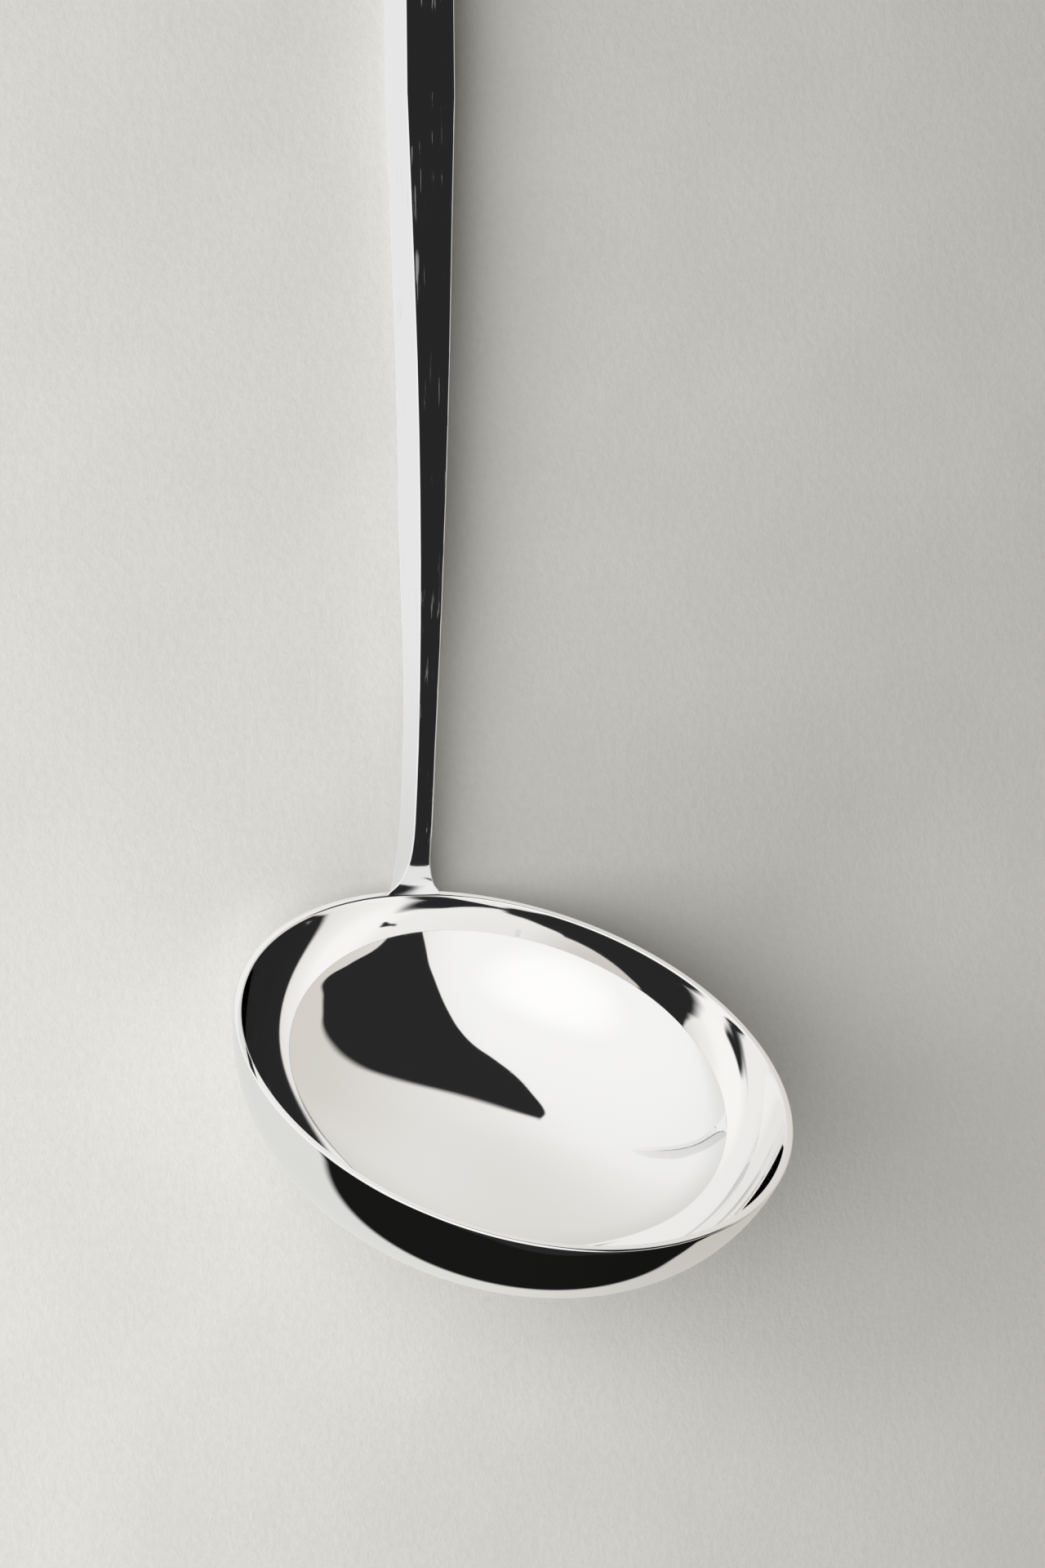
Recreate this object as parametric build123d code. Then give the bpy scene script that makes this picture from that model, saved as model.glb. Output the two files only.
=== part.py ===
from build123d import *
import math
import os

# A steel soup ladle: a pressed bowl, a forged handle lapped on its outside wall, and the brazed seam.
# It is drawn in the bowl's frame: rim centre at the origin, bowl axis up +Z, handle on the +X side.
# It is then laid on its back, as it rests on a table. Lengths are in millimetres, angles in degrees.

# Bowl
rim_radius = 46.0
bowl_depth = 26.1
belly_rise = 11.8
wall = 1.3
lip_rounding = 0.3
side_power = 2.72
floor_power = 2.84
profile_shares = (0.0, 0.14, 0.28, 0.42, 0.54, 0.65, 0.74, 0.82, 0.89, 0.95, 1.0)

# Handle: its front face runs up from the inner edge of the lip
handle_length = 215.0
neck_bend_radius = 38.0
neck_lean = 29.0
shank_bend_radius = 690.0
shank_lean = 36.0
neck_width = 3.5
grip_width = 9.0
taper_start = 24.0
taper_length = 107.0
taper_power = 1.35
neck_depth = 6.3
grip_depth = 8.7
deepening_start = 26.0
deepening_length = 38.0
front_edge_rounding = 0.3
back_edge_rounding = 1.3
back_rounding_limit_share = 0.33
end_rounding = 3.2
end_dome_shares = (1.0, 0.8, 0.6, 0.42, 0.27, 0.15, 0.07, 0.02)
shank_stations = 12

# Foot: the neck flares at the rim and laps down the bowl's outside wall as a tapering tail
foot_flare = 3.2
flare_height = 14.0
flare_power = 4.5
flare_shares = (0.0, 0.1, 0.22, 0.38, 0.6, 0.85)
tail_length = 13.5
tail_end_width = 4.6
tail_end_thickness = 0.7
tail_back_width = 2.8
tail_power = 1.6
tail_shares = (1.0, 0.9, 0.7, 0.45, 0.2)
flank_power = 2.2
flank_shares = (0.2, 0.45, 0.75)

# Brazed seam: a small fillet of filler metal round the foot
seam_leg = 0.8
seam_shares = (0.95, 0.75, 0.5, 0.25, 0.0)

# Rest on a table: the bowl's axis tips towards the handle until heel and tip both touch
tilt_limits = (40.0, 80.0)
heel_samples = 60
search_steps = 60

curve_scale = bowl_depth + belly_rise
profile_radius = rim_radius / (1 - (belly_rise / curve_scale) ** floor_power) ** (1 / side_power)


def wall_height(radius):
    """Height of the bowl's outside at a distance from its axis, at or below the rim."""
    drop = max(1 - (radius / profile_radius) ** side_power, 0)
    return belly_rise - curve_scale * drop ** (1 / floor_power)


def wall_lean(radius):
    """Angle between the outside wall and the bowl's axis."""
    across = side_power / profile_radius * (radius / profile_radius) ** (side_power - 1)
    height = (belly_rise - wall_height(radius)) / curve_scale
    along = floor_power / curve_scale * height ** (floor_power - 1)
    return math.degrees(math.atan2(along, across))


def smooth_step(share):
    share = min(max(share, 0), 1)
    return share * share * (3 - 2 * share)


def outer_points():
    return [(rim_radius * share, wall_height(rim_radius * share)) for share in profile_shares]


def inner_points():
    """The outside profile moved in by the wall, square to itself."""
    points = []
    for x, z in outer_points():
        lean = math.radians(wall_lean(x))
        points.append((x - wall * math.cos(lean), z + wall * math.sin(lean)))
    return points


inner_rim_radius = rim_radius - wall / math.cos(math.radians(wall_lean(rim_radius)))


def profile_face(hollow):
    """Half section of the bowl in the XZ plane: the hollow shell, or the bowl filled to the rim."""
    outer = [Vector(x, 0, z) for x, z in outer_points()]
    bottom, rim = outer[0], outer[-1]
    top = math.radians(wall_lean(rim_radius))
    climb = Vector(math.sin(top), 0, math.cos(top))
    level = Vector(1, 0, 0)
    outside = Edge.make_spline(outer, tangents=[level, climb])
    if not hollow:
        centre = Vector(0, 0, 0)
        edges = [outside, Edge.make_line(rim, centre), Edge.make_line(centre, bottom)]
        return Face(Wire(edges))
    inner = [Vector(x, 0, z) for x, z in inner_points()[:-1]]
    inner_rim = Vector(inner_rim_radius, 0, 0)
    inside = Edge.make_spline(inner + [inner_rim], tangents=[level, climb])
    edges = [outside, Edge.make_line(rim, inner_rim), inside, Edge.make_line(inner[0], bottom)]
    return Face(Wire(edges))


def make_bowl():
    bowl = revolve(profile_face(True), axis=Axis.Z)
    lip = bowl.edges().filter_by(GeomType.CIRCLE).group_by(Axis.Z)[-1]
    return fillet(lip, lip_rounding)


def make_filled_bowl():
    return revolve(profile_face(False), axis=Axis.Z)


def tail_place(along):
    """A point of the inner wall below the rim, and the wall's lean there."""
    low, high = 0.0, rim_radius
    for _ in range(search_steps):
        middle = (low + high) / 2
        if wall_height(middle) < along:
            low = middle
        else:
            high = middle
    lean = wall_lean(low)
    turn = math.radians(lean)
    return low - wall * math.cos(turn), along + wall * math.sin(turn), lean


def front_place(along):
    """Front face of the handle at a distance from the rim: its X, its Z and its lean from the axis."""
    if along < 0:
        return tail_place(along)
    start = wall_lean(rim_radius)
    x, z = inner_rim_radius, 0.0
    stretches = ((neck_bend_radius, start, neck_lean), (shank_bend_radius, neck_lean, shank_lean))
    for radius, first, last in stretches:
        first, last = math.radians(first), math.radians(last)
        lean = min(first + along / radius, last)
        x += radius * (math.cos(first) - math.cos(lean))
        z += radius * (math.sin(lean) - math.sin(first))
        along -= radius * (lean - first)
    x += along * math.sin(lean)
    z += along * math.cos(lean)
    return x, z, math.degrees(lean)


def back_half_width(along):
    if along < 0:
        share = -along / tail_length
        return (neck_width + (tail_back_width - neck_width) * share) / 2
    share = min(max((along - taper_start) / taper_length, 0), 1)
    return (neck_width + (grip_width - neck_width) * share ** taper_power) / 2


def front_half_width(along):
    """Half width of the front face, or of the tail where it meets the wall."""
    if along < 0:
        root = neck_width / 2 + foot_flare
        end = tail_end_width / 2
        return end + (root - end) * math.sqrt(max(1 - (along / tail_length) ** 2, 0))
    flare = foot_flare * max(1 - along / flare_height, 0) ** flare_power
    return back_half_width(along) + flare


def depth(along):
    """Handle from front to back."""
    if along < 0:
        end = wall + tail_end_thickness
        return end + (neck_depth - end) * max(1 + along / tail_length, 0) ** tail_power
    return neck_depth + (grip_depth - neck_depth) * smooth_step((along - deepening_start) / deepening_length)


def section_plane(along):
    """Plane across the handle: local X runs from the front face to the back, local Y across."""
    x, z, lean = front_place(along)
    turn = math.radians(lean)
    climb = Vector(math.sin(turn), 0, math.cos(turn))
    backward = Vector(math.cos(turn), 0, -math.sin(turn))
    return Plane(origin=Vector(x, 0, z), x_dir=backward, z_dir=climb)


def corner_arc(centre, radius, start, end):
    middle = (start + end) / 2
    points = []
    for angle in (start, middle, end):
        turn = math.radians(angle)
        points.append(Vector(centre[0] + radius * math.cos(turn), centre[1] + radius * math.sin(turn)))
    return Edge.make_three_point_arc(*points)


def section(along, inset=0.0):
    """Handle section: flat front, flanks that curve in where the foot flares, rounded back edges."""
    front, back = front_half_width(along) - inset, back_half_width(along) - inset
    near, far = inset, depth(along) - inset
    front_round = front_edge_rounding
    back_round = min(back_edge_rounding, (far - near) * back_rounding_limit_share)
    first, last = near + front_round, far - back_round
    flank = [(first, front)]
    for share in flank_shares:
        reach = first + (last - first) * share
        flank.append((reach, back + (front - back) * (1 - share) ** flank_power))
    flank.append((last, back))
    right = [Vector(x, y) for x, y in flank]
    left = [Vector(x, -y) for x, y in reversed(flank)]
    edges = [
        Edge.make_line(Vector(near, front_round - front), Vector(near, front - front_round)),
        corner_arc((first, front - front_round), front_round, 180, 90),
        Edge.make_spline(right),
        corner_arc((last, back - back_round), back_round, 90, 0),
        Edge.make_line(Vector(far, back - back_round), Vector(far, back_round - back)),
        corner_arc((last, back_round - back), back_round, 0, -90),
        Edge.make_spline(left),
        corner_arc((first, front_round - front), front_round, -90, -180),
    ]
    return section_plane(along) * Face(Wire(edges))


def end_inset(distance):
    """How far the rounded end has drawn in, at a distance from the tip."""
    return end_rounding - math.sqrt(end_rounding ** 2 - (end_rounding - distance) ** 2)


def make_handle(filled_bowl):
    """The foot and the tapering shank, the even grip, and the rounded end."""
    taper_end = taper_start + taper_length
    dome_start = handle_length - end_rounding
    step = (taper_end - flare_height) / shank_stations
    stations = [-tail_length * share for share in tail_shares]
    stations += [flare_height * share for share in flare_shares]
    stations += [flare_height + step * count for count in range(shank_stations + 1)]
    shank = loft([section(along) for along in stations])
    grip = loft([section(taper_end), section(dome_start)], ruled=True)
    drops = [end_rounding * share for share in end_dome_shares]
    dome = loft([section(handle_length - drop, end_inset(drop)) for drop in drops])
    return shank + grip + dome - filled_bowl


def seam_section(along, spread, height):
    """Section of the seam's blank: as wide as the foot plus its spread at the wall, narrower above."""
    width = front_half_width(along)
    low, high = wall - height, wall + height
    outline = [(0, width + spread), (low, width + spread), (high, width - spread)]
    corners = [Vector(x, y) for x, y in outline]
    corners += [Vector(x, -y) for x, y in reversed(outline)]
    edges = [Edge.make_line(one, two) for one, two in zip(corners, corners[1:] + corners[:1])]
    return section_plane(along) * Face(Wire(edges))


def make_seam(filled_bowl, handle):
    stations = [-(tail_length + seam_leg)] + [-tail_length * share for share in seam_shares]
    sections = [seam_section(along, seam_leg, seam_leg) for along in stations]
    return loft(sections, ruled=True) - filled_bowl - handle


def back_place(along, inset):
    """A point of the handle's middle line, a little in front of its back face."""
    x, z, lean = front_place(along)
    turn = math.radians(lean)
    reach = depth(along) - inset
    return x + reach * math.cos(turn), z - reach * math.sin(turn)


def height_when_laid(place, tilt):
    turn = math.radians(tilt)
    return place[1] * math.cos(turn) - place[0] * math.sin(turn)


def lowest_heel(tilt):
    """Lowest height of the foot's back and of the bowl's wall, with the bowl tipped towards the handle."""
    places = outer_points()
    for count in range(heel_samples + 1):
        share = count / heel_samples
        places.append(back_place((tail_length + flare_height) * share - tail_length, 0.0))
    return min(height_when_laid(place, tilt) for place in places)


def lowest_tip(tilt):
    rounding_centre = back_place(handle_length - end_rounding, end_rounding)
    return height_when_laid(rounding_centre, tilt) - end_rounding


def resting_tilt():
    """Tilt of the bowl's axis at which the heel and the tip of the handle touch the table together."""
    low, high = tilt_limits
    for _ in range(search_steps):
        middle = (low + high) / 2
        if lowest_tip(middle) > lowest_heel(middle):
            low = middle
        else:
            high = middle
    return (low + high) / 2


def laid_down(solids):
    """The solids resting on the plane Z = 0, centred over the origin."""
    tilt = resting_tilt()
    tipped = [Rot(0, tilt, 0) * solid for solid in solids]
    boxes = [solid.bounding_box() for solid in tipped]
    middle = (min(box.min.X for box in boxes) + max(box.max.X for box in boxes)) / 2
    lowest = min(box.min.Z for box in boxes)
    print("bowl axis tipped by", round(tilt, 3), "middle", round(middle, 3), "lowest", round(lowest, 3))
    return [Pos(-middle, 0, -lowest) * solid for solid in tipped]


filled = make_filled_bowl()
bowl = make_bowl()
handle = make_handle(filled)
seam = make_seam(filled, handle)
os.makedirs("parts", exist_ok=True)
for name, solid in zip(("bowl", "handle", "braze_seam"), laid_down((bowl, handle, seam))):
    print(name, round(solid.volume, 1), len(solid.solids()), solid.is_valid)
    export_step(solid, "parts/" + name + ".step")
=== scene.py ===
import math

import bpy
from mathutils import Matrix, Vector


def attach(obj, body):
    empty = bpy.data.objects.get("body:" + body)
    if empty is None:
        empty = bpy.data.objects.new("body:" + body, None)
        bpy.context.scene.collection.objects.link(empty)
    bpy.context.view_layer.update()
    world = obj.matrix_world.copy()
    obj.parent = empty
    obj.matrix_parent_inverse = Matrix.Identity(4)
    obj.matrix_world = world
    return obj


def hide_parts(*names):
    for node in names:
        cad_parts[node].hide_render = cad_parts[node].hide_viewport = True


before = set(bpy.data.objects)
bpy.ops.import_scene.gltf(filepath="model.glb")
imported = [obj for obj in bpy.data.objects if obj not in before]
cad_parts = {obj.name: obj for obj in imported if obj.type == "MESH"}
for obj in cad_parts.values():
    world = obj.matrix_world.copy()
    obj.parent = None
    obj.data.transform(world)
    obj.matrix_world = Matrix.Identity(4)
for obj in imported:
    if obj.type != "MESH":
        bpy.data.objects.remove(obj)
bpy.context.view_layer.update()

# The photograph's camera. Lengths are in metres, the focal length and the image height in pixels.
IMAGE_HEIGHT = 1920
SENSOR_HEIGHT = 36.0
FOCAL_PIXELS = 7100.864
CAMERA_PLACE = (-0.029623, 0.417949, 0.860807)
CAMERA_RIGHT = (0.00442, -0.89002, 0.45591)
CAMERA_UP = (0.99952, -0.00998, -0.02918)
RIM_CENTRE = Vector((-0.102053, 0.0, 0.043224))
WINDOW_WAY = (0.11, 0.52, 0.85)

WHITE = (1, 1, 1, 1)
PLAIN_BACKGROUND = (0.57, 0.56, 0.535, 1)
WARM_SIDE = (0.76, 0.735, 0.69, 1)
DARK_OPENING = (0.022, 0.022, 0.023, 1)
ROOM_FILL = (0.09, 0.084, 0.072, 1)
# Painted shade near the bowl, in the floor's glow for mirror rays.
PAINTED_SHADE_NEAR_BOWL = (0.82, 0.82, 0.80, 1)
PLASTER_DEEP = (0.62, 0.61, 0.585, 1)
PLASTER_PALE = (0.66, 0.65, 0.625, 1)

FLOOR_REACH = 3.0
FLOOR_FADE_START, FLOOR_FADE_END = 0.26, 0.6
PAINTED_DARK_EDGE_SOFTNESS, DARK_FLOOR_SHARE = 0.006, 0.012
LIGHT_EDGE_SOFTNESS, POST_SOFTNESS = 0.004, 0.012
LOWEST_HEIGHT = 0.0001


def add_camera():
    data = bpy.data.cameras.new("photo_camera")
    data.sensor_fit = "VERTICAL"
    data.sensor_height = SENSOR_HEIGHT
    data.lens = FOCAL_PIXELS / IMAGE_HEIGHT * SENSOR_HEIGHT
    data.clip_start, data.clip_end = 0.01, 50
    camera = bpy.data.objects.new("photo_camera", data)
    bpy.context.scene.collection.objects.link(camera)
    right = Vector(CAMERA_RIGHT).normalized()
    up = (Vector(CAMERA_UP) - right * right.dot(Vector(CAMERA_UP))).normalized()
    back = right.cross(up)
    turn = Matrix((right, up, back)).transposed()
    camera.matrix_world = Matrix.Translation(CAMERA_PLACE) @ turn.to_4x4()
    bpy.context.scene.camera = camera


class Nodes:
    """Short calls for building a node tree."""

    def __init__(self, tree):
        self.tree = tree
        tree.nodes.clear()

    def add(self, kind, **settings):
        node = self.tree.nodes.new(kind)
        for name, value in settings.items():
            setattr(node, name, value)
        return node

    def link(self, source, target):
        self.tree.links.new(source, target)

    def put(self, socket, value):
        if isinstance(value, bpy.types.NodeSocket):
            self.link(value, socket)
        else:
            socket.default_value = value

    def math(self, operation, one, two=0.0, three=0.0, clamp=False):
        node = self.add("ShaderNodeMath", operation=operation, use_clamp=clamp)
        for socket, value in zip(node.inputs, (one, two, three)):
            self.put(socket, value)
        return node.outputs[0]

    def vector_math(self, operation, one, two=(0, 0, 0)):
        node = self.add("ShaderNodeVectorMath", operation=operation)
        self.put(node.inputs[0], one)
        self.put(node.inputs[1], two)
        return node.outputs["Value" if operation in ("DOT_PRODUCT", "LENGTH") else "Vector"]

    def ramp(self, value, low, high, out_low=0.0, out_high=1.0, smooth=True):
        kind = "SMOOTHSTEP" if smooth else "LINEAR"
        node = self.add("ShaderNodeMapRange", interpolation_type=kind)
        for socket, number in zip(node.inputs, (value, low, high, out_low, out_high)):
            self.put(socket, number)
        return node.outputs[0]

    def noise(self, vector, scale, detail=2.0, roughness=0.5):
        node = self.add("ShaderNodeTexNoise")
        self.put(node.inputs["Vector"], vector)
        node.inputs["Scale"].default_value = scale
        node.inputs["Detail"].default_value = detail
        node.inputs["Roughness"].default_value = roughness
        return node.outputs["Fac"]

    def curve(self, value, points):
        """A smooth curve through points that run from 0 to 1 along and up."""
        node = self.add("ShaderNodeFloatCurve")
        track = node.mapping.curves[0]
        track.points[0].location = points[0]
        track.points[-1].location = points[-1]
        for point in points[1:-1]:
            track.points.new(*point)
        node.mapping.update()
        self.put(node.inputs["Value"], value)
        return node.outputs[0]

    def blend(self, factor, one, two):
        node = self.add("ShaderNodeMix", data_type="FLOAT")
        for index, number in zip((0, 2, 3), (factor, one, two)):
            self.put(node.inputs[index], number)
        return node.outputs[0]

    def grey(self, value):
        node = self.add("ShaderNodeCombineColor")
        for socket in node.inputs:
            self.put(socket, value)
        return node.outputs[0]

    def mix(self, factor, one, two, blend="MIX"):
        node = self.add("ShaderNodeMix", data_type="RGBA", blend_type=blend)
        for index, number in zip((0, 6, 7), (factor, one, two)):
            self.put(node.inputs[index], number)
        return node.outputs[2]

    def mix_shader(self, factor, one, two):
        node = self.add("ShaderNodeMixShader")
        for socket, source in zip(node.inputs, (factor, one, two)):
            self.link(source, socket)
        return node.outputs[0]

    def xyz(self, vector):
        node = self.add("ShaderNodeSeparateXYZ")
        self.link(vector, node.inputs[0])
        return node.outputs

    def bump(self, height, strength, distance):
        node = self.add("ShaderNodeBump")
        node.inputs["Strength"].default_value = strength
        node.inputs["Distance"].default_value = distance
        self.link(height, node.inputs["Height"])
        return node.outputs[0]

    def deeper_than(self, depth, limit):
        """1 past a ray depth, which counts the mirrors on a surface and one more in the world."""
        return self.ramp(depth, limit - 0.1, limit + 0.1)


def new_material(name):
    material = bpy.data.materials.new(name)
    material.use_nodes = True
    return material, Nodes(material.node_tree)


SCRATCH_STRETCH = (45, 1700, 1700)


def polished_steel(name, colour, roughness, stretch, scratches):
    """Mirror-polished steel: wiping marks vary its gloss, and fine scratches catch the light."""
    material, n = new_material(name)
    place = n.add("ShaderNodeTexCoord").outputs["Object"]
    marks = n.noise(n.vector_math("MULTIPLY", place, stretch), 9.0, detail=6.0, roughness=0.65)
    cloud = n.noise(place, 55.0, detail=3.0)
    gloss = n.math("ADD", n.ramp(marks, 0.45, 0.8, roughness, roughness * 2.2),
                   n.ramp(cloud, 0.3, 0.7, 0.0, roughness * 0.8))
    along_handle = n.vector_math("MULTIPLY", place, SCRATCH_STRETCH)
    lines = n.noise(along_handle, 1.0, detail=2.0, roughness=0.7)
    where = n.noise(place, 90.0, detail=2.0)
    scratch = n.math("MULTIPLY", n.ramp(lines, 0.58, 0.68), n.ramp(where, 0.45, 0.62))
    gloss = n.math("ADD", gloss, n.math("MULTIPLY", scratch, scratches))
    shader = n.add("ShaderNodeBsdfPrincipled")
    shader.inputs["Base Color"].default_value = (*colour, 1)
    shader.inputs["Metallic"].default_value = 1.0
    n.link(gloss, shader.inputs["Roughness"])
    n.link(n.bump(marks, 0.05, 0.00002), shader.inputs["Normal"])
    n.link(shader.outputs[0], n.add("ShaderNodeOutputMaterial").inputs["Surface"])
    return material


def pale_studio(n, way):
    """The pale studio in a direction: brightest towards the window, warmer and dimmer on the right."""
    right = n.math("MULTIPLY", n.xyz(way)["Y"], -1.0)
    towards_window = n.vector_math("DOT_PRODUCT", way, WINDOW_WAY)
    glow = n.math("ADD", n.ramp(towards_window, -0.3, 0.8, 0.92, 0.965),
                  n.ramp(towards_window, 0.82, 1.0, 0.0, 0.1))
    warm = n.mix(n.ramp(right, 0.0, 0.9), WHITE, WARM_SIDE)
    return n.mix(1.0, n.grey(glow), warm, blend="MULTIPLY")


def floor_glow_painted_for_mirrors(n, place):
    """Painted light: the floor glows as the steel shows it, dim by the bowl (painted shade), else as pale
    as the studio, dark past an edge (painted reflection).
    """
    x, y, _ = n.xyz(place)
    from_bowl = n.vector_math("SUBTRACT", place, RIM_CENTRE)
    pale = pale_studio(n, n.vector_math("NORMALIZE", from_bowl))
    # Painted shade: near the bowl the glow is dimmed, standing in for the bowl's shadow.
    dim = n.mix(n.ramp(x, -0.09, -0.03), PAINTED_SHADE_NEAR_BOWL, WHITE)
    # Painted reflection: past this edge the glow turns nearly black for rays mirrored once.
    past_edge = n.math("ADD", x, n.curve(n.ramp(y, 0.1, -0.2, smooth=False), PAINTED_DARK_EDGE))
    kept = n.ramp(past_edge, -PAINTED_DARK_EDGE_SOFTNESS, PAINTED_DARK_EDGE_SOFTNESS, DARK_FLOOR_SHARE, 1.0)
    mirrored_twice = n.deeper_than(n.add("ShaderNodeLightPath").outputs["Ray Depth"], 1.5)
    kept = n.grey(n.math("MAXIMUM", kept, mirrored_twice))
    return n.mix(1.0, n.mix(1.0, pale, dim, blend="MULTIPLY"), kept, blend="MULTIPLY")


def floor_material():
    """Pale matt plaster with a fine grain, which runs out into the plain background far from the ladle.
    Mirror rays see a painted glow instead of the lit plaster: painted light and shade.
    """
    material, n = new_material("pale_plaster")
    place = n.add("ShaderNodeTexCoord").outputs["Object"]
    broad = n.noise(place, 30.0, detail=5.0, roughness=0.6)
    grain = n.noise(place, 700.0, detail=4.0, roughness=0.7)
    mixed = n.math("ADD", n.math("MULTIPLY", broad, 0.5), n.math("MULTIPLY", grain, 0.5))
    plaster = n.add("ShaderNodeBsdfDiffuse")
    n.link(n.mix(n.ramp(mixed, 0.35, 0.65), PLASTER_DEEP, PLASTER_PALE), plaster.inputs["Color"])
    n.link(n.bump(grain, 0.25, 0.0003), plaster.inputs["Normal"])
    # Painted light: mirror rays see the floor glow with painted brightness and painted shade, not the lit
    # plaster.
    mirrored = n.add("ShaderNodeEmission")
    n.link(floor_glow_painted_for_mirrors(n, place), mirrored.inputs["Color"])
    background = n.add("ShaderNodeEmission")
    background.inputs["Color"].default_value = PLAIN_BACKGROUND
    path = n.add("ShaderNodeLightPath")
    distance = n.vector_math("LENGTH", n.vector_math("SUBTRACT", place, RIM_CENTRE))
    far_off = n.ramp(distance, FLOOR_FADE_START, FLOOR_FADE_END)
    far_off = n.math("MULTIPLY", far_off, path.outputs["Is Camera Ray"])
    seen = n.mix_shader(far_off, plaster.outputs[0], background.outputs[0])
    either = n.mix_shader(path.outputs["Is Glossy Ray"], seen, mirrored.outputs[0])
    n.link(either, n.add("ShaderNodeOutputMaterial").inputs["Surface"])
    return material


def add_floor():
    mesh = bpy.data.meshes.new("floor")
    turns = ((-1, -1), (1, -1), (1, 1), (-1, 1))
    corners = [(across * FLOOR_REACH, deep * FLOOR_REACH, 0) for across, deep in turns]
    mesh.from_pydata(corners, [], [(0, 1, 2, 3)])
    floor = bpy.data.objects.new("floor", mesh)
    bpy.context.scene.collection.objects.link(floor)
    mesh.materials.append(floor_material())


# The painted dark edge of the floor's glow for mirror rays, a painted reflection: how far it lies towards
# -X, along a line across the ladle from left to right.
PAINTED_DARK_EDGE = (
    (0.0, 0.168), (0.14, 0.174), (0.33, 0.196), (0.52, 0.216), (0.66, 0.235), (0.8, 0.26), (1.0, 0.268),
)
# Edges in the studio. Each pair is a direction's turn about the ladle's cross axis, 0 at -X, a half
# overhead and 1 at +X, and how far to the right the edge lies there.
LIGHT_EDGE = (
    (0.0, 0.45), (0.233, 0.4), (0.339, 0.338), (0.404, 0.305), (0.472, 0.282), (0.54, 0.252),
    (0.671, 0.217), (0.731, 0.204), (0.785, 0.179), (0.832, 0.131), (0.874, 0.108), (0.913, 0.118),
    (0.948, 0.14), (0.972, 0.2), (1.0, 0.25),
)
WALL_EDGE = (
    (0.0, 0.3), (0.233, 0.38), (0.276, 0.456), (0.324, 0.54), (0.382, 0.635), (0.432, 0.789),
    (0.488, 0.9), (0.593, 0.895), (0.69, 0.878), (0.773, 0.856), (0.834, 0.798), (0.879, 0.708),
    (0.914, 0.562), (0.943, 0.396), (0.963, 0.284), (0.972, 0.2), (1.0, 0.1),
)
# The light's edge for rays that were mirrored twice, raised by a half to stay above zero.
TWICE_EDGE_RAISE = 0.5
TWICE_EDGE = (
    (0.0, 1.0), (0.44, 1.0), (0.47, 0.96), (0.5, 0.9), (0.53, 0.8), (0.56, 0.69), (0.58, 0.55),
    (0.6, 0.44), (0.625, 0.31), (0.65, 0.16), (0.67, 0.09), (0.69, 0.07), (0.765, 0.07), (0.785, 0.27),
    (0.833, 0.3), (0.874, 0.42), (0.909, 0.56), (0.94, 0.8), (1.0, 0.9),
)
TWICE_SOFTNESS = (
    (0.0, 0.04), (0.53, 0.05), (0.58, 0.1), (0.65, 0.09), (0.72, 0.03), (0.8, 0.02), (1.0, 0.02),
)
# A dark post on the left of the studio, for rays mirrored twice. Both edges are raised by one.
POST_RAISE = 1.0
POST_TOP = (
    (0.0, 0.9), (0.6, 0.5), (0.63, 0.45), (0.66, 0.41), (0.685, 0.348), (0.7, 0.306), (0.72, 0.278),
    (0.74, 0.255), (0.76, 0.232), (0.8, 0.18), (1.0, 0.0),
)
POST_FOOT = (
    (0.0, 0.8), (0.6, 0.4), (0.63, 0.35), (0.66, 0.3), (0.69, 0.265), (0.72, 0.24), (0.74, 0.218),
    (0.76, 0.195), (0.8, 0.155), (1.0, 0.0),
)


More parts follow.
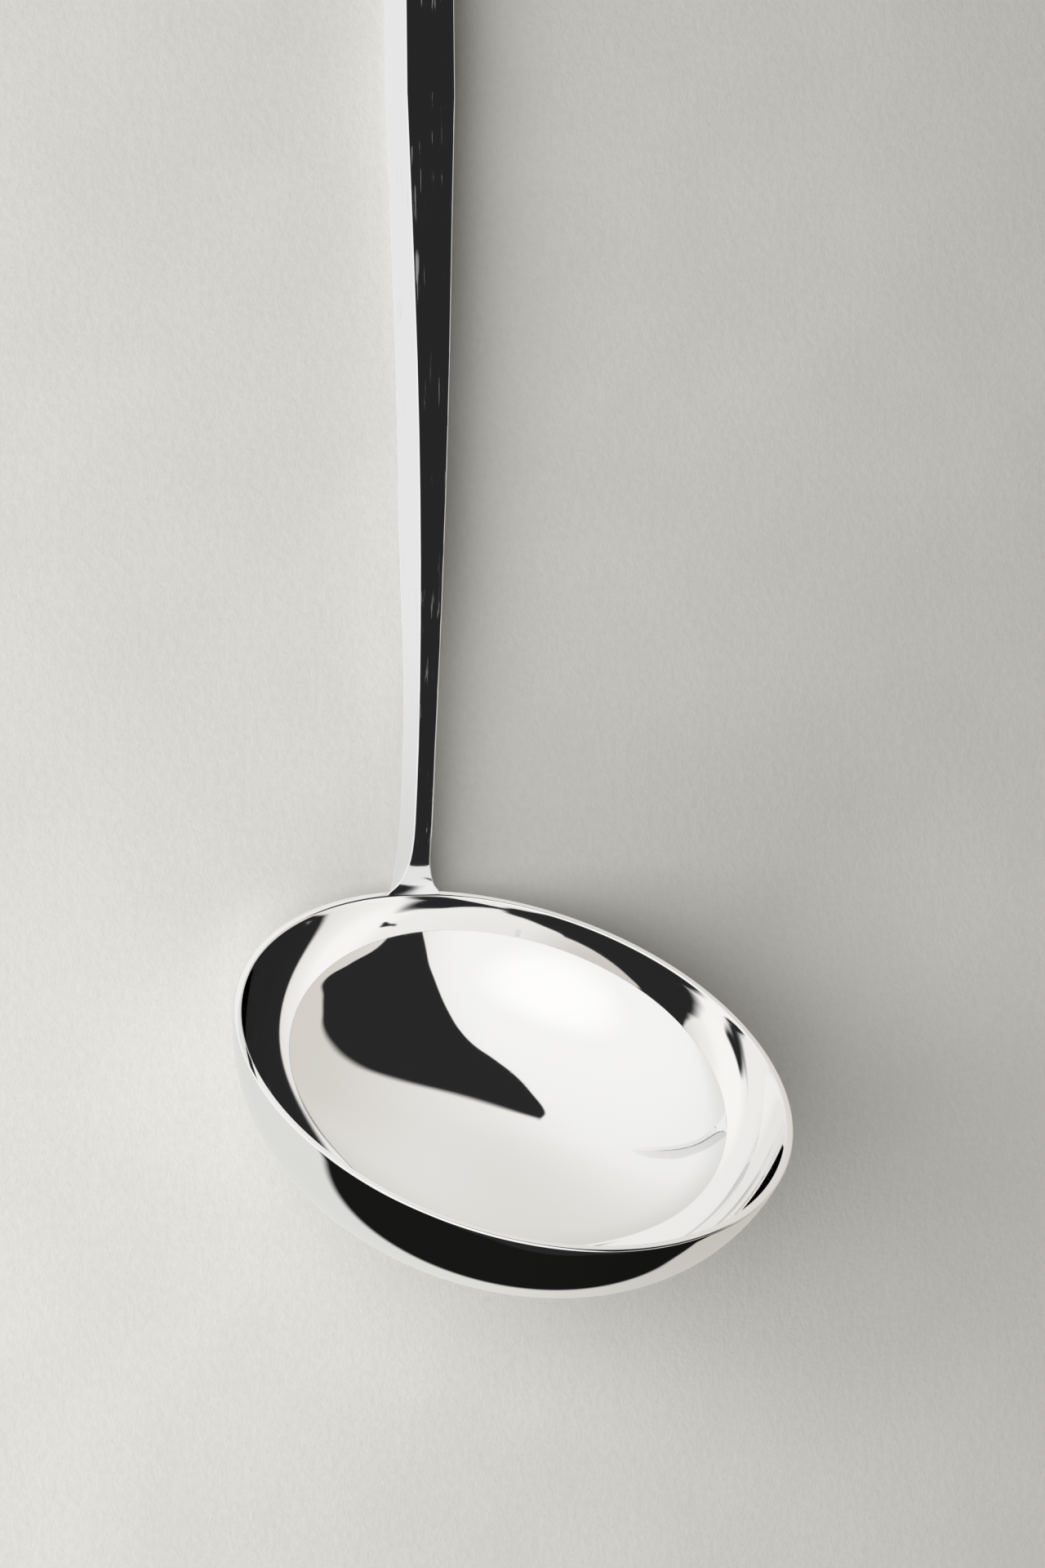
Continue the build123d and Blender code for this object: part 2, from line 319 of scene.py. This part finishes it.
def add_world():
    """A pale studio with a dark opening between the overhead light and the low wall on the right.

    The opening's edge depends on how often a ray was mirrored, so this is no single real room.
    """
    world = bpy.data.worlds.new("studio")
    bpy.context.scene.world = world
    world.use_nodes = True
    n = Nodes(world.node_tree)
    path = n.add("ShaderNodeLightPath")
    way = n.add("ShaderNodeTexCoord").outputs["Generated"]
    x, y, z = n.xyz(way)
    right = n.math("MULTIPLY", y, -1.0)
    turn = n.math("ARCTAN2", x, n.math("MAXIMUM", z, LOWEST_HEIGHT))
    along = n.ramp(turn, -math.pi / 2, math.pi / 2, smooth=False)
    depth = path.outputs["Ray Depth"]
    twice, thrice = n.deeper_than(depth, 2.5), n.deeper_than(depth, 3.5)
    once_edge = n.curve(along, LIGHT_EDGE)
    twice_edge = n.math("SUBTRACT", n.curve(along, TWICE_EDGE), TWICE_EDGE_RAISE)
    thrice_edge = n.ramp(along, 0.72, 0.78, -0.44, 1.0)
    edge = n.blend(thrice, n.blend(twice, once_edge, twice_edge), thrice_edge)
    light_softness = n.blend(twice, LIGHT_EDGE_SOFTNESS, n.curve(along, TWICE_SOFTNESS))
    light_gap = n.math("DIVIDE", n.math("SUBTRACT", right, edge), light_softness)
    past_light = n.ramp(light_gap, -1.0, 1.0)
    wall_softness = n.ramp(along, 0.7, 0.95, 0.012, 0.07)
    wall_gap = n.math("SUBTRACT", n.curve(along, WALL_EDGE), right)
    wall_gap = n.math("DIVIDE", wall_gap, wall_softness)
    before_wall = n.ramp(wall_gap, -0.5, 1.0)
    low_end = n.math("MULTIPLY", n.ramp(x, -0.62, -0.68), n.ramp(z, 0.36, 0.30))
    low_right = n.math("MULTIPLY", n.ramp(right, 0.3, 0.4), n.ramp(x, -0.2, -0.3))
    low_end = n.math("MAXIMUM", low_end, n.math("MULTIPLY", low_right, n.ramp(z, 0.42, 0.34)))
    low_end = n.math("MULTIPLY", low_end, n.math("SUBTRACT", 1.0, twice))
    post_top = n.math("SUBTRACT", n.curve(along, POST_TOP), POST_RAISE)
    post_foot = n.math("SUBTRACT", n.curve(along, POST_FOOT), POST_RAISE)
    below_top = n.ramp(n.math("SUBTRACT", post_top, right), -POST_SOFTNESS, POST_SOFTNESS)
    above_foot = n.ramp(n.math("SUBTRACT", right, post_foot), -POST_SOFTNESS, POST_SOFTNESS)
    post_span = n.math("MULTIPLY", n.ramp(along, 0.65, 0.67), n.ramp(along, 0.765, 0.735))
    post = n.math("MULTIPLY", below_top, above_foot)
    post = n.math("MULTIPLY", post, n.math("SUBTRACT", twice, thrice))
    post = n.math("MULTIPLY", post, post_span)
    opening = n.math("MULTIPLY", past_light, before_wall)
    dark = n.math("MAXIMUM", opening, n.math("MAXIMUM", low_end, post))
    studio = n.mix(dark, pale_studio(n, way), DARK_OPENING)
    colour = n.mix(path.outputs["Is Glossy Ray"], ROOM_FILL, studio)
    colour = n.mix(path.outputs["Is Camera Ray"], colour, PLAIN_BACKGROUND)
    background = n.add("ShaderNodeBackground")
    n.link(colour, background.inputs["Color"])
    background.inputs["Strength"].default_value = 1.0
    n.link(background.outputs[0], n.add("ShaderNodeOutputWorld").inputs["Surface"])


def add_light(name, place, width, height, energy):
    """A soft lamp aimed at the bowl. The steel shows the studio instead of its outline."""
    data = bpy.data.lights.new(name, "AREA")
    data.shape = "RECTANGLE"
    data.size, data.size_y = width, height
    data.energy = energy
    light = bpy.data.objects.new(name, data)
    bpy.context.scene.collection.objects.link(light)
    light.location = Vector(place)
    light.rotation_mode = "QUATERNION"
    light.rotation_quaternion = (Vector(place) - RIM_CENTRE).to_track_quat("Z", "Y")
    light.visible_glossy = False


# The bowl's profile, as in the solid.
RIM_RADIUS, BOWL_DEPTH, BELLY_RISE, WALL, LIP_ROUNDING = 0.046, 0.0261, 0.0118, 0.0013, 0.0003
SIDE_POWER, FLOOR_POWER = 2.72, 2.84
LADLE_TILT = math.radians(55.779)
CURVE_SCALE = BOWL_DEPTH + BELLY_RISE
PROFILE_RADIUS = RIM_RADIUS / (1 - (BELLY_RISE / CURVE_SCALE) ** FLOOR_POWER) ** (1 / SIDE_POWER)
PROFILE_STEPS, ROUND_STEPS, LIP_STEPS = 96, 300, 8
LIP_START = -2.5 * LIP_ROUNDING


def wall_height(radius):
    drop = max(1 - (radius / PROFILE_RADIUS) ** SIDE_POWER, 0)
    return BELLY_RISE - CURVE_SCALE * drop ** (1 / FLOOR_POWER)


def wall_lean(radius):
    across = SIDE_POWER / PROFILE_RADIUS * (radius / PROFILE_RADIUS) ** (SIDE_POWER - 1)
    depth_share = (BELLY_RISE - wall_height(radius)) / CURVE_SCALE
    along = FLOOR_POWER / CURVE_SCALE * depth_share ** (FLOOR_POWER - 1)
    return math.atan2(along, across)


def wall_side(inset):
    """The bowl's half profile, moved in from its outside, from the middle of its floor to the lip."""
    places = []
    for step in range(PROFILE_STEPS + 1):
        radius = RIM_RADIUS * math.sin(step / PROFILE_STEPS * math.pi / 2)
        lean = wall_lean(radius)
        height = wall_height(radius) + inset * math.sin(lean)
        places.append((radius - inset * math.cos(lean), height))
    places[0] = (0.0, places[0][1])
    return places


def lip_corner(edge, inwards):
    """A rounded corner of the lip: edge is the radius where the wall would meet it."""
    lean = wall_lean(RIM_RADIUS)
    opening = math.pi / 2 - inwards * lean
    reach = LIP_ROUNDING / math.tan(opening / 2)
    centre_x = edge - inwards * reach
    places = []
    for step in range(LIP_STEPS + 1):
        turn = (math.pi - opening) * step / LIP_STEPS
        across = centre_x + inwards * LIP_ROUNDING * math.sin(turn)
        places.append((across, LIP_ROUNDING * (math.cos(turn) - 1)))
    return places


def laid(x, y, z):
    """From the bowl's frame, rim centre at the origin, to the ladle laid on the table."""
    cosine, sine = math.cos(LADLE_TILT), math.sin(LADLE_TILT)
    return Vector((x * cosine + z * sine, y, z * cosine - x * sine)) + RIM_CENTRE


def spun_bowl():
    """The bowl as a fine lathe mesh, so that its mirror finish has no facets."""
    outside = [p for p in wall_side(0.0) if p[1] < LIP_START]
    inside = [p for p in wall_side(WALL) if p[1] < LIP_START]
    outer_corner = lip_corner(RIM_RADIUS, 1)
    inner_edge = RIM_RADIUS - WALL / math.cos(wall_lean(RIM_RADIUS))
    inner_corner = lip_corner(inner_edge, -1)
    path = inside + list(reversed(inner_corner)) + outer_corner + list(reversed(outside))
    verts, faces = [laid(0.0, 0.0, path[0][1])], []
    for radius, height in path[1:-1]:
        for step in range(ROUND_STEPS):
            angle = 2 * math.pi * step / ROUND_STEPS
            verts.append(laid(radius * math.cos(angle), radius * math.sin(angle), height))
    verts.append(laid(0.0, 0.0, path[-1][1]))
    rings = len(path) - 2
    for step in range(ROUND_STEPS):
        after = (step + 1) % ROUND_STEPS
        faces.append((0, 1 + step, 1 + after))
        for ring in range(rings - 1):
            low, high = 1 + ring * ROUND_STEPS, 1 + (ring + 1) * ROUND_STEPS
            faces.append((low + step, high + step, high + after, low + after))
        last = 1 + (rings - 1) * ROUND_STEPS
        faces.append((last + step, len(verts) - 1, last + after))
    mesh = bpy.data.meshes.new("spun_bowl")
    mesh.from_pydata(verts, [], faces)
    mesh.shade_smooth()
    piece = bpy.data.objects.new("spun_bowl", mesh)
    bpy.context.scene.collection.objects.link(piece)
    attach(piece, "root")
    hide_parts("bowl")
    return piece


add_camera()
add_floor()
add_world()
add_light("window", (-0.04, 0.68, 0.52), 0.55, 0.95, 10.0)
add_light("low_lamp", (-0.58, 0.62, 0.5), 0.4, 0.6, 4.6)

finishes = {
    "bowl": polished_steel("polished_bowl", (0.93, 0.925, 0.915), 0.02, (1, 1, 1), 0.02),
    "handle": polished_steel("polished_handle", (0.85, 0.85, 0.855), 0.03, (6, 60, 60), 0.4),
    "braze_seam": polished_steel("braze_metal", (0.88, 0.87, 0.84), 0.06, (1, 1, 1), 0.05),
}
for name, finish in finishes.items():
    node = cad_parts[name]
    node.data.materials.clear()
    node.data.materials.append(finish)
spun_bowl().data.materials.append(finishes["bowl"])

bpy.context.scene.view_settings.view_transform = "Standard"
